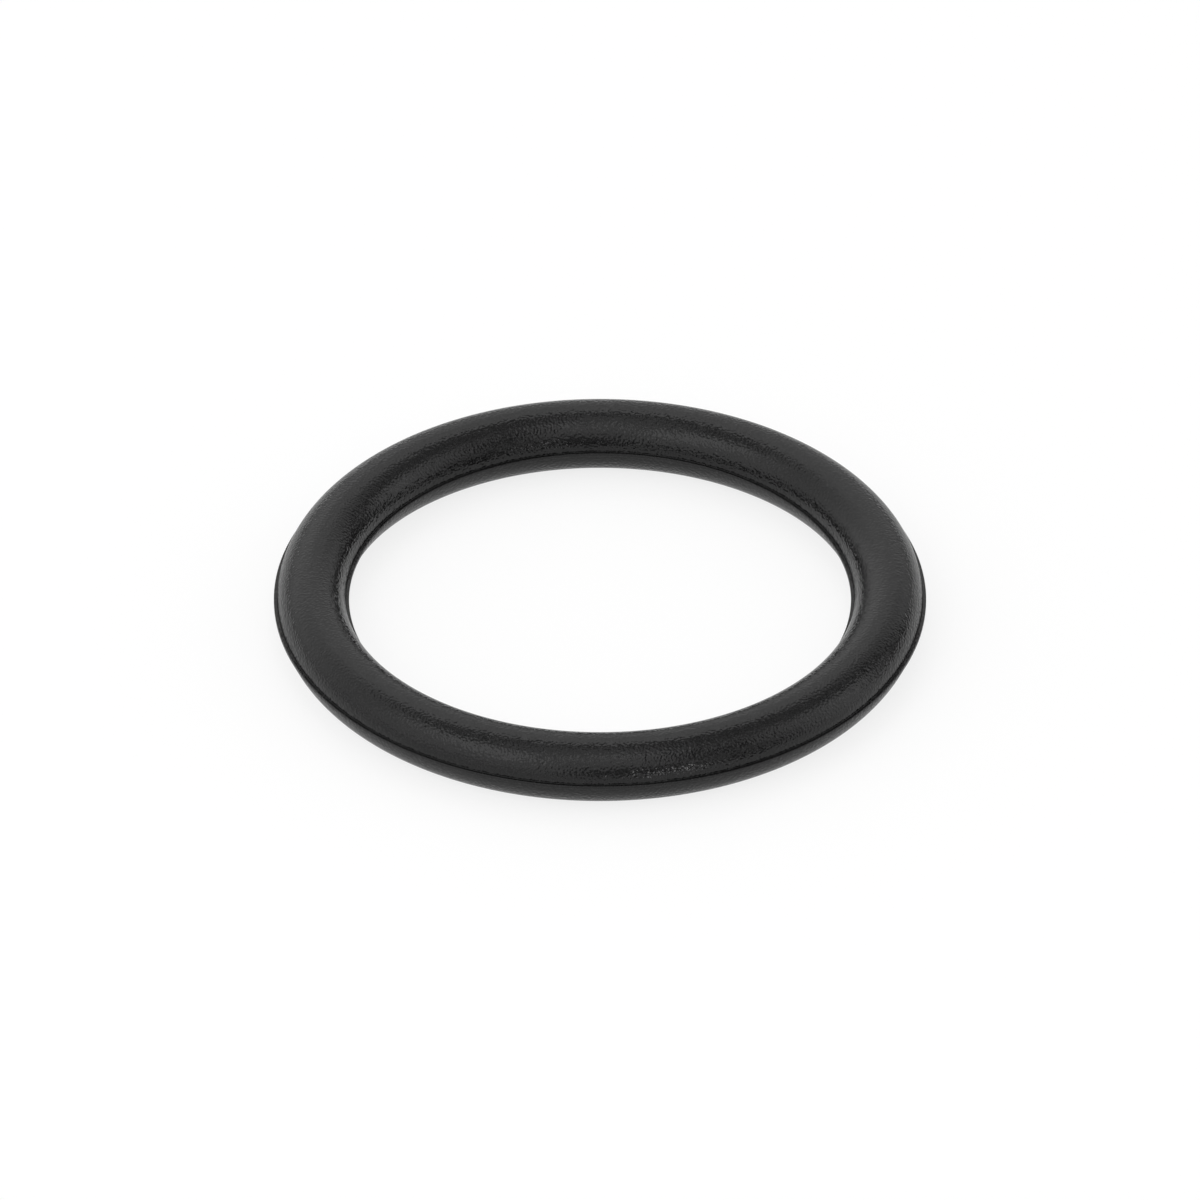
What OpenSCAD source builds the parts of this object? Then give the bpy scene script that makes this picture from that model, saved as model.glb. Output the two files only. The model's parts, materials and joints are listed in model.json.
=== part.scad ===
// Moulded rubber o-ring: one solid of revolution. A round cord section is swept
// round the axis, and the trimmed flash of the mould's parting line stands out
// of it as a thin ridge, once inside the ring and once outside. The origin is
// the ring's centre, on the parting plane, and the ring's axis is Z.

/* [Ring] */
// Inside diameter of the cord section, without the flash
inside_d = 22; // [8:0.5:60]
// Diameter of the round cord section
section_d = 3; // [1.5:0.1:6]

/* [Parting line] */
// How far the trimmed flash stands out of the section, inside and outside
flash_h = 0.13; // [0.08:0.01:0.3]
// Thickness of the flash, along the ring's axis
flash_t = 0.16; // [0.1:0.01:0.4]
// Rounding of the flash's two trimmed edges
flash_edge_r = 0.03; // [0.01:0.01:0.04]
// Fillet where the flash grows out of the round section
flash_root_r = 0.02; // [0.01:0.01:0.1]

/* [Hidden] */

// Facets of a full circle in the preview
$fn = 180;

section_r = section_d / 2;
// Radius of the circle that the section's centre runs along
mean_r = (inside_d + section_d) / 2;
// Distances from the section's centre to the flash's land and to the rounding of its edges
land_x = section_r + flash_h;
edge_x = land_x - flash_edge_r;
half_t = flash_t / 2;

// The root fillet never reaches past the flat faces of the flash
root_r = min(flash_root_r, flash_h - flash_edge_r);
// How far the fillet's circle reaches into the section and the flash that it joins
root_bite = 0.0005;
// Centre of the fillet's circle, beside the section and over the flash
root_y = half_t + root_r - root_bite;
root_reach = section_r + root_r - root_bite;
root_x = sqrt(pow(root_reach, 2) - pow(root_y, 2));

// Thin ridge that stands out on both sides of the section, with rounded edges
module flash_profile() {
    land_t = flash_t - 2 * flash_edge_r;
    square([2 * edge_x, flash_t], center = true);
    square([2 * land_x, land_t], center = true);
    for (side = [-1, 1], face = [-1, 1])
        translate([side * edge_x, face * land_t / 2]) circle(flash_edge_r);
}

// Straight-sided web that fills the four corners between the section and the flash
module root_web() {
    touch_x = root_x * section_r / root_reach;
    touch_y = root_y * section_r / root_reach;
    polygon([
        [touch_x, touch_y], [-touch_x, touch_y], [-root_x, half_t], [-root_x, -half_t],
        [-touch_x, -touch_y], [touch_x, -touch_y], [root_x, -half_t], [root_x, half_t]
    ]);
}

// The whole section: round cord and flash, with a concave fillet in each corner
module ring_profile() {
    difference() {
        union() {
            circle(section_r);
            flash_profile();
            root_web();
        }
        for (side = [-1, 1], face = [-1, 1])
            translate([side * root_x, face * root_y]) circle(root_r);
    }
}

module o_ring() {
    color([0.045, 0.045, 0.047])
        rotate_extrude()
            translate([mean_r, 0]) ring_profile();
}

o_ring();
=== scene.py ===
import json
import math

import bpy
from mathutils import Matrix, Vector


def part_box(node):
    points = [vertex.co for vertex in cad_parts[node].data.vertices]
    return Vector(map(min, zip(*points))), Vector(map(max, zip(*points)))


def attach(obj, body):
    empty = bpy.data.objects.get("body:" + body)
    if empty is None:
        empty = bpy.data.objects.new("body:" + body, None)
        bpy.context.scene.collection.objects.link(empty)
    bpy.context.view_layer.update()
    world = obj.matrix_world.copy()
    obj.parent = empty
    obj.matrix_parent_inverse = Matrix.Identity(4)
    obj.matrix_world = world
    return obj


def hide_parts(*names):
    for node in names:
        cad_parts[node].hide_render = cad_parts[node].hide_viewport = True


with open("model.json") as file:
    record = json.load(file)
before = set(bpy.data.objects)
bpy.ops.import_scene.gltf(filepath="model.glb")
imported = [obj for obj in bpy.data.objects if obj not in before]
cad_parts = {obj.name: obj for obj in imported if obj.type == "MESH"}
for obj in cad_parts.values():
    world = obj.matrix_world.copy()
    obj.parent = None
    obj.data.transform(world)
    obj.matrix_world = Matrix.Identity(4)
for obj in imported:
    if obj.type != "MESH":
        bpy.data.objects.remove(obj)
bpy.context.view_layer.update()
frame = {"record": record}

# Look of the moulded rubber o-ring: a fine mesh of the same ring with its parting line, black satin
# rubber with an orange-peel grain, and a white floor in a plain, soft, pale studio.

# A millimetre in the scene's metres, and plain white
MM = 0.001
WHITE = (1, 1, 1, 1)

# Section of the ring, in metres, worked out from the frame: its box and the lands that its mounts name
LANDS = {mount["name"]: mount["dims"] for mount in frame["record"]["mounts"]}
INNER_LAND = LANDS["shaft_bore"]["r_mm"] * MM
OUTER_LAND = LANDS["housing_rim"]["r_mm"] * MM
LAND_WIDTH = LANDS["housing_rim"]["length_mm"] * MM
RING_LOW, RING_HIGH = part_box("o_ring")
SECTION_R = (RING_HIGH[2] - RING_LOW[2]) / 2
MEAN_R = (OUTER_LAND + INNER_LAND) / 2
LAND_X = (OUTER_LAND - INNER_LAND) / 2

# Roundings of the parting line's ridge: its trimmed edges, and the fillets at its root
FLASH_EDGE_R = 0.03 * MM
FLASH_ROOT_R = 0.02 * MM

# Steps of the mesh: round the ring, and along each arc of a quarter of its section
RING_STEPS = 660
EDGE_STEPS = 4
ROOT_STEPS = 6
SECTION_STEPS = 25

# Rubber: its gloss, and its tone, which goes from dark to light between two levels of a fine noise
RUBBER_IOR = 1.36
RUBBER_ROUGHNESS = 0.12
RUBBER_DARK = (0.0016, 0.0016, 0.0016, 1)
RUBBER_LIGHT = (0.0100, 0.0100, 0.0102, 1)
SPECK_LEVELS = (0.3, 0.7)
SPECK_SIZE = 0.07 * MM
SPECK_DETAIL = 1.0

# Orange-peel grain that the mould left on the rubber
GRAIN_SIZE = 0.105 * MM
GRAIN_DEPTH = 0.021 * MM
GRAIN_DETAIL = 0.0

# At a low angle the grain hides part of the rubber's gloss. Its level falls between these two tilts of
# the surface, where 0 faces the eye and 1 is seen edge on. A blend of one half leaves the tilt as it is.
LOW_TILTS = (0.46, 0.84)
GLOSS_LEVELS = (0.50, 0.05)
TILT_BLEND = 0.5

# Camera: an isometric view, as wide as the photograph's frame, and how near and how far it sees
CAMERA_TILT = math.degrees(math.asin(1 / math.sqrt(3)))
FRAME_WIDTH = 51.98 * MM
CAMERA_DISTANCE = 200 * MM
CAMERA_NEAR = 1 * MM
CAMERA_FAR = 10.0

# Floor: its own colour, and the share of its white that doesn't depend on the light, which keeps the
# shadow soft
FLOOR_COLOR = (0.95, 0.95, 0.95, 1)
FLOOR_GLOW = 0.8

# Studio: the radius of its floor and of the dome over it, and the dome's steps, round it and up it
STUDIO_R = 1.2
DOME_TURN_STEPS = 360
DOME_RISE_STEPS = 90

# The studio is a pale room. Softboxes light it and dark gaps stand between them. Each of these cards has
# the azimuth of its middle (0 is the camera's side, 90 the right), its elevation, its half width and half
# height, all in degrees, and its brightness, where 1 is white. A later one hides what it overlaps. They
# are rounded rectangles, and the power sets how square their corners are.
ROOM_LEVEL = 1.08
CARD_POWER = 4
CARDS = {
    "ceiling_gap_right": (106, 67, 22, 12, 0.42),
    "ceiling_gap_left": (-108, 66, 18, 7, 0.46),
    "ceiling_gap_back": (170, 76, 17, 5, 0.40),
    "overhead": (-30, 86, 11, 11, 1.10),
    "skirting_left": (-115, 3, 70, 7, 0.76),
    "skirting_back": (180, 3, 50, 9, 0.52),
    "wall_right": (86, 24, 42, 40, 0.82),
    "wall_back_right": (142, 20, 14, 40, 0.78),
    "wall_back": (168, 24, 12, 24, 0.88),
    "front_left": (-46, 20, 33, 20, 1.36),
    "softbox_left_glow": (-57, 41, 24, 15, 1.44),
    "softbox_left_high": (-62, 51, 11, 9, 2.20),
    "softbox_left_low": (-37, 42, 11, 11, 2.35),
    "skirting_back_right": (157, 1, 23, 6, 0.30),
    "softbox_back_glow": (-171, 51, 26, 13, 1.16),
    "softbox_back": (-173, 59, 18, 7, 1.78),
    "softbox_top": (9, 54, 16, 19, 1.40),
    "softbox_top_core": (12, 65, 7, 7, 2.20),
    "window_right": (89, 22, 15, 26, 1.34),
    "window_right_core": (98, 26, 5, 9, 1.80),
    "gap_high_right": (111, 50, 13, 9, 0.46),
    "gap_right": (121, 12, 5, 33, 0.16),
    "skirting_right": (119, 2, 13, 6, 0.18),
    "gap_front_high": (40, 40, 5, 15, 0.20),
    "gap_front_far": (54, 40, 5, 14, 0.16),
    "strip_front": (63, 39, 4, 14, 1.50),
    "gap_front_right": (47, -2, 19, 13, 0.10),
    "gap_front": (12, 9, 20, 16, 0.33),
    "skirting_front_left": (-50, 1, 42, 5, 0.80),
    "lamp_front": (25, 2, 7, 4, 7.00),
}


def arc(centre, radius, start, end, steps):
    """Points and outward normals of an arc, from one angle to another, without its first point.
    Its normals point to its centre where the radius is negative, as on a fillet."""
    for i in range(1, steps + 1):
        angle = start + (end - start) * i / steps
        way = Vector((math.cos(angle), math.sin(angle)))
        yield Vector(centre) + way * abs(radius), way * math.copysign(1, radius)


def section_quarter():
    """The section's outline from the middle of its outer land up to its top, as (point, normal) pairs."""
    half_land = LAND_WIDTH / 2
    half_flash = half_land + FLASH_EDGE_R
    edge_x = LAND_X - FLASH_EDGE_R
    root_y = half_flash + FLASH_ROOT_R
    root_x = math.sqrt((SECTION_R + FLASH_ROOT_R) ** 2 - root_y ** 2)
    touch = math.atan2(root_y, root_x)
    outline = [(Vector((LAND_X, 0)), Vector((1, 0)))]
    outline.append((Vector((LAND_X, half_land)), Vector((1, 0))))
    outline += arc((edge_x, half_land), FLASH_EDGE_R, 0, math.pi / 2, EDGE_STEPS)
    outline.append((Vector((root_x, half_flash)), Vector((0, 1))))
    outline += arc((root_x, root_y), -FLASH_ROOT_R, 1.5 * math.pi, math.pi + touch, ROOT_STEPS)
    outline += arc((0, 0), SECTION_R, touch, math.pi / 2, SECTION_STEPS)
    return outline


def section_outline():
    """The closed outline of the section, made of its quarter and the quarter's three mirror images."""
    quarter = section_quarter()

    def mirrored(points, side, face):
        scale = Matrix(((side, 0), (0, face)))
        return [(scale @ point, scale @ normal) for point, normal in points]

    upper = quarter + mirrored(quarter[-2::-1], -1, 1)
    return upper + mirrored(upper[-2:0:-1], 1, -1)


def ring_mesh():
    """The section swept round the ring in four-sided faces, with its exact normals."""
    outline = section_outline()
    count = len(outline)
    places, normals = [], []
    for step in range(RING_STEPS):
        turn = 2 * math.pi * step / RING_STEPS
        out = Vector((math.cos(turn), math.sin(turn), 0))
        for point, normal in outline:
            places.append(out * (MEAN_R + point.x) + Vector((0, 0, point.y)))
            normals.append(out * normal.x + Vector((0, 0, normal.y)))
    faces = []
    for step in range(RING_STEPS):
        here = step * count
        there = (step + 1) % RING_STEPS * count
        for i in range(count):
            j = (i + 1) % count
            faces.append((here + i, there + i, there + j, here + j))
    mesh = bpy.data.meshes.new("ring")
    mesh.from_pydata(places, [], faces)
    mesh.shade_smooth()
    mesh.normals_split_custom_set_from_vertices(normals)
    return mesh


class Nodes:
    """A small helper that adds nodes to a tree and links them."""

    def __init__(self, tree):
        self.tree = tree
        self.tree.nodes.clear()

    def add(self, kind, inputs=(), **settings):
        node = self.tree.nodes.new(kind)
        for name, value in settings.items():
            setattr(node, name, value)
        for name, value in dict(inputs).items():
            socket = node.inputs[name]
            if isinstance(value, bpy.types.NodeSocket):
                self.tree.links.new(value, socket)
            else:
                socket.default_value = value
        return node

    def math(self, operation, first, second):
        node = self.add("ShaderNodeMath", {0: first, 1: second}, operation=operation)
        return node.outputs[0]


def rubber_material():
    """Black satin rubber. Its surface has the fine orange-peel grain of a blasted mould."""
    material = bpy.data.materials.new("rubber")
    material.use_nodes = True
    nodes = Nodes(material.node_tree)
    place = nodes.add("ShaderNodeTexCoord").outputs["Object"]
    shader = nodes.add("ShaderNodeBsdfPrincipled", {"IOR": RUBBER_IOR, "Roughness": RUBBER_ROUGHNESS})

    specks = nodes.add("ShaderNodeTexNoise", {
        "Vector": place, "Scale": 1 / SPECK_SIZE, "Detail": SPECK_DETAIL})
    tone = nodes.add("ShaderNodeValToRGB", {"Fac": specks.outputs["Fac"]})
    tone.color_ramp.elements[0].position = SPECK_LEVELS[0]
    tone.color_ramp.elements[0].color = RUBBER_DARK
    tone.color_ramp.elements[1].position = SPECK_LEVELS[1]
    tone.color_ramp.elements[1].color = RUBBER_LIGHT
    nodes.tree.links.new(tone.outputs["Color"], shader.inputs["Base Color"])

    tilt = nodes.add("ShaderNodeLayerWeight", {"Blend": TILT_BLEND}).outputs["Facing"]
    gloss = nodes.add("ShaderNodeMapRange", {
        "Value": tilt, "From Min": LOW_TILTS[0], "From Max": LOW_TILTS[1],
        "To Min": GLOSS_LEVELS[0], "To Max": GLOSS_LEVELS[1]})
    nodes.tree.links.new(gloss.outputs["Result"], shader.inputs["Specular IOR Level"])

    grain = nodes.add("ShaderNodeTexNoise", {
        "Vector": place, "Scale": 1 / GRAIN_SIZE, "Detail": GRAIN_DETAIL})
    bump = nodes.add("ShaderNodeBump", {
        "Height": grain.outputs["Fac"], "Strength": 1.0, "Distance": GRAIN_DEPTH})
    nodes.tree.links.new(bump.outputs["Normal"], shader.inputs["Normal"])

    nodes.add("ShaderNodeOutputMaterial", {"Surface": shader.outputs["BSDF"]})
    return material


def make_ring():
    """The o-ring, in place of its plain solid."""
    ring = bpy.data.objects.new("ring", ring_mesh())
    bpy.context.collection.objects.link(ring)
    ring.data.materials.append(rubber_material())
    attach(ring, "root")
    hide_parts("o_ring")


def floor_material():
    """White paint with an even glow, which only the camera, reflections and transmission see."""
    material = bpy.data.materials.new("floor")
    material.use_nodes = True
    nodes = Nodes(material.node_tree)
    paint = nodes.add("ShaderNodeBsdfDiffuse", {"Color": FLOOR_COLOR})
    white = nodes.add("ShaderNodeEmission", {"Color": WHITE, "Strength": 1.0})
    ray = nodes.add("ShaderNodeLightPath").outputs
    seen = nodes.math("MAXIMUM", ray["Is Camera Ray"], ray["Is Glossy Ray"])
    seen = nodes.math("MAXIMUM", seen, ray["Is Transmission Ray"])
    share = nodes.math("MULTIPLY", seen, FLOOR_GLOW)
    floor_mix = nodes.add("ShaderNodeMixShader", {
        0: share, 1: paint.outputs["BSDF"], 2: white.outputs["Emission"]})
    nodes.add("ShaderNodeOutputMaterial", {"Surface": floor_mix.outputs["Shader"]})
    # Light paths meet the floor by themselves, so it isn't sampled as a lamp
    material.cycles.emission_sampling = "NONE"
    return material


def make_floor():
    """White floor, a disc as wide as the studio, on which the ring lies."""
    mesh = bpy.data.meshes.new("floor")
    turns = [2 * math.pi * i / DOME_TURN_STEPS for i in range(DOME_TURN_STEPS)]
    rim = [(STUDIO_R * math.cos(turn), STUDIO_R * math.sin(turn), 0) for turn in turns]
    mesh.from_pydata(rim, [], [range(DOME_TURN_STEPS)])
    mesh.materials.append(floor_material())
    floor = bpy.data.objects.new("floor", mesh)
    floor.location.z = RING_LOW[2]
    bpy.context.collection.objects.link(floor)


def direction(azimuth, elevation):
    """Unit vector towards an azimuth and an elevation, both in degrees. The camera's side is 0."""
    azimuth, elevation = math.radians(azimuth), math.radians(elevation)
    level = math.cos(elevation)
    return Vector((level * math.sin(azimuth), -level * math.cos(azimuth), math.sin(elevation)))


def card_shapes():
    """Each card's middle, its two axes divided by its half width and half height, and its brightness."""
    for azimuth, elevation, half_width, half_height, level in CARDS.values():
        middle = direction(azimuth, elevation)
        across = direction(azimuth + 90, 0)
        along = across.cross(middle)
        wide = math.tan(math.radians(half_width))
        high = math.tan(math.radians(half_height))
        yield middle, across / wide, along / high, level


def studio_level(way, shapes):
    """Brightness of the studio in one direction: that of the last card there, or of the bare room."""
    brightness = ROOM_LEVEL
    for middle, across, along, level in shapes:
        facing = way.dot(middle)
        if facing <= 0:
            continue
        x, y = way.dot(across) / facing, way.dot(along) / facing
        if x ** CARD_POWER + y ** CARD_POWER < 1:
            brightness = level
    return brightness


def dome_mesh():
    """Half a globe over the floor, with the studio's brightness painted on its points."""
    shapes = list(card_shapes())
    places, levels, faces = [], [], []
    for rise in range(DOME_RISE_STEPS + 1):
        for turn in range(DOME_TURN_STEPS):
            way = direction(360 * turn / DOME_TURN_STEPS, 90 * rise / DOME_RISE_STEPS)
            places.append(way * STUDIO_R)
            levels.append(studio_level(way, shapes))
    for rise in range(DOME_RISE_STEPS):
        low = rise * DOME_TURN_STEPS
        high = low + DOME_TURN_STEPS
        for turn in range(DOME_TURN_STEPS):
            beside = (turn + 1) % DOME_TURN_STEPS
            faces.append((low + turn, low + beside, high + beside, high + turn))
    mesh = bpy.data.meshes.new("studio")
    mesh.from_pydata(places, [], faces)
    paint = mesh.attributes.new("level", "FLOAT", "POINT")
    paint.data.foreach_set("value", levels)
    return mesh


def studio_material():
    """Light of the brightness that is painted on the dome."""
    material = bpy.data.materials.new("studio")
    material.use_nodes = True
    nodes = Nodes(material.node_tree)
    level = nodes.add("ShaderNodeAttribute", attribute_name="level").outputs["Fac"]
    light = nodes.add("ShaderNodeEmission", {"Color": WHITE, "Strength": level})
    nodes.add("ShaderNodeOutputMaterial", {"Surface": light.outputs["Emission"]})
    # Light paths meet the dome by themselves, so it isn't sampled as a lamp
    material.cycles.emission_sampling = "NONE"
    return material


def make_studio():
    """Dome that lights the ring. The camera doesn't see it."""
    mesh = dome_mesh()
    mesh.materials.append(studio_material())
    studio = bpy.data.objects.new("studio", mesh)
    studio.location.z = RING_LOW[2]
    studio.visible_camera = False
    bpy.context.collection.objects.link(studio)


def make_world():
    """Plain white beyond the studio, which only the camera sees."""
    world = bpy.data.worlds.new("white")
    world.use_nodes = True
    bpy.context.scene.world = world
    nodes = Nodes(world.node_tree)
    light = nodes.add("ShaderNodeBackground", {"Color": WHITE, "Strength": 1.0})
    nodes.add("ShaderNodeOutputWorld", {"Surface": light.outputs["Background"]})


def make_camera():
    """Camera with no perspective, which looks at the ring's centre from above the front."""
    camera = bpy.data.objects.new("camera", bpy.data.cameras.new("camera"))
    bpy.context.collection.objects.link(camera)
    camera.data.type = "ORTHO"
    camera.data.ortho_scale = FRAME_WIDTH
    camera.data.clip_start = CAMERA_NEAR
    camera.data.clip_end = CAMERA_FAR
    camera.location = direction(0, CAMERA_TILT) * CAMERA_DISTANCE
    camera.rotation_euler = (math.radians(90 - CAMERA_TILT), 0, 0)
    bpy.context.scene.camera = camera


make_ring()
make_floor()
make_studio()
make_world()
make_camera()
bpy.context.scene.view_settings.view_transform = "Standard"
